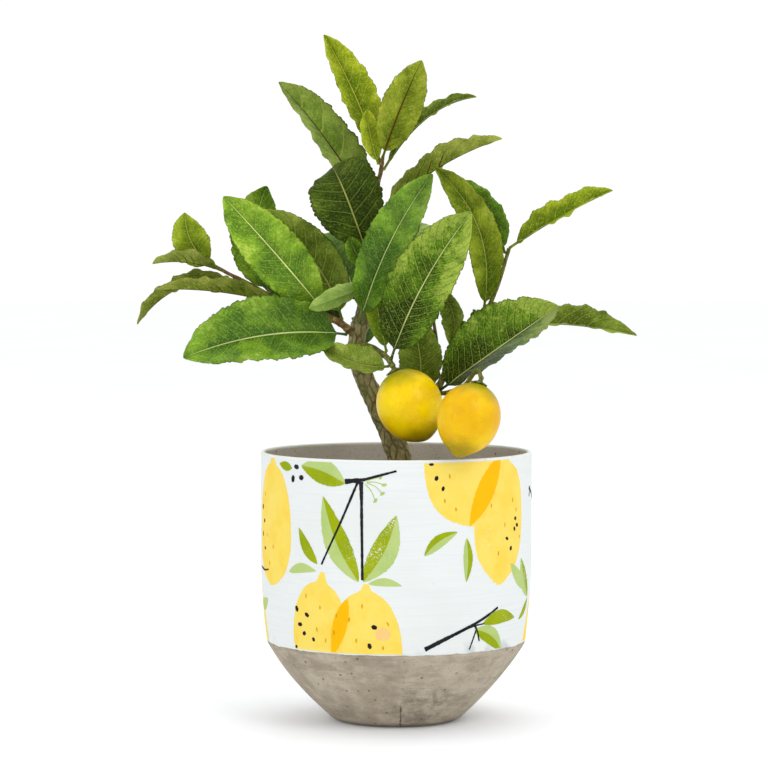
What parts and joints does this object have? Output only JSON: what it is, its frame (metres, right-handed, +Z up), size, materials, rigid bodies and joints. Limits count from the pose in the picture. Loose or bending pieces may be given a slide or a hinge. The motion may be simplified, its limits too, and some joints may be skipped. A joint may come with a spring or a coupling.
{
  "type": "plant pot with artificial lemon tree",
  "caption": "Round cast-cement pot with a printed lemon band and a bowl foot, holding a drop-in artificial lemon tree with bendable sprays and hanging lemons.",
  "frame": {"origin": "on the face the pot stands on, where the pot's axis meets it", "axes": "+Z up along the pot's axis; -Y towards the viewer of the picture; +X to the viewer's right"},
  "size_m": [0.2948, 0.1894, 0.4068],
  "materials": {
    "cement": "matt cast cement, mottled and pitted",
    "printed_coat": "matt bluish-white ground printed in flat yellow, orange, green and black",
    "liner_plastic": "thin black nursery pot",
    "filler": "cast plaster weight",
    "topping": "glued brown fibre and grit",
    "bark": "moulded grey-brown bark",
    "twig": "moulded green-brown stem over wire",
    "lemon_skin": "satin yellow with fine pores",
    "calyx": "matt dark green",
    "leaf_lime": "satin yellow-green",
    "leaf_olive": "satin olive green",
    "leaf_mid": "satin mid green",
    "leaf_dark": "satin dark green",
    "leaf_pale": "matt pale green underside"
  },
  "bodies": {
    "pot": {"pot_shell": "cement", "print_band": "printed_coat"},
    "plant": {"grower_pot": "liner_plastic", "ballast": "filler", "soil_top": "topping", "trunk": "bark", "left_shoot": "twig", "lemon_twig": "twig", "low_branch": "twig", "fruit_twig": "twig", "fruit_stalk": "twig", "crown_left_leaf": "leaf_olive", "crown_dark_leaf": "leaf_dark", "crown_right_leaf": "leaf_olive", "heart_tall_leaf": "leaf_mid", "low_right_leaf": "leaf_dark", "far_right_leaf": "leaf_olive", "heart_wide_leaf": "leaf_mid", "heart_behind_leaf": "leaf_lime", "under_heart_leaf": "leaf_olive", "hanging_leaf": "leaf_olive", "left_wide_leaf": "leaf_lime", "left_second_leaf": "leaf_mid", "left_shade_leaf": "leaf_dark", "big_left_leaf": "leaf_mid", "pale_curl_leaf": "leaf_pale", "small_left_leaf": "leaf_olive", "tiny_crown_leaf": "leaf_mid", "rear_right_leaf": "leaf_mid", "rear_left_leaf": "leaf_mid", "rear_low_leaf": "leaf_mid"},
    "top_spray": {"top_stem": "twig", "top_left_leaf": "leaf_lime", "top_centre_leaf": "leaf_lime", "top_bud_leaf": "leaf_lime", "top_right_leaf": "leaf_olive"},
    "left_spray": {"left_spray_stem": "twig", "left_back_leaf": "leaf_mid", "left_small_leaf": "leaf_lime", "left_high_leaf": "leaf_olive", "left_flat_leaf": "leaf_olive", "left_low_leaf": "leaf_olive"},
    "right_spray": {"right_spray_stem": "twig", "right_inner_leaf": "leaf_lime", "right_back_leaf": "leaf_mid", "right_tip_leaf": "leaf_lime"},
    "lemon_left": {"lemon_left": "lemon_skin", "calyx_left": "calyx"},
    "lemon_right": {"lemon_right": "lemon_skin", "calyx_right": "calyx"}
  },
  "joints": [
    {"name": "plant_lift", "type": "slide", "parent": "pot", "child": "plant", "axis": [0, 0, 1], "range_m": [0, 0.16]},
    {"name": "top_spray_bend", "type": "hinge", "parent": "plant", "child": "top_spray", "pos_m": [-0.011, 0.004, 0.3076], "axis": [0, 1, 0], "range_deg": [-8, 8]},
    {"name": "left_spray_bend", "type": "hinge", "parent": "plant", "child": "left_spray", "pos_m": [-0.0542, -0.006, 0.2434], "axis": [0, 1, 0], "range_deg": [-8, 8]},
    {"name": "right_spray_bend", "type": "hinge", "parent": "plant", "child": "right_spray", "pos_m": [0.051, -0.022, 0.2376], "axis": [0, 1, 0], "range_deg": [-8, 8]},
    {"name": "lemon_left_sway", "type": "hinge", "parent": "plant", "child": "lemon_left", "pos_m": [-0.0022, -0.0319, 0.2112], "axis": [0, 1, 0], "range_deg": [-6, 12]},
    {"name": "lemon_right_sway", "type": "hinge", "parent": "plant", "child": "lemon_right", "pos_m": [0.0482, -0.0717, 0.2057], "axis": [1, 0, 0], "range_deg": [-15, 0]}
  ]
}
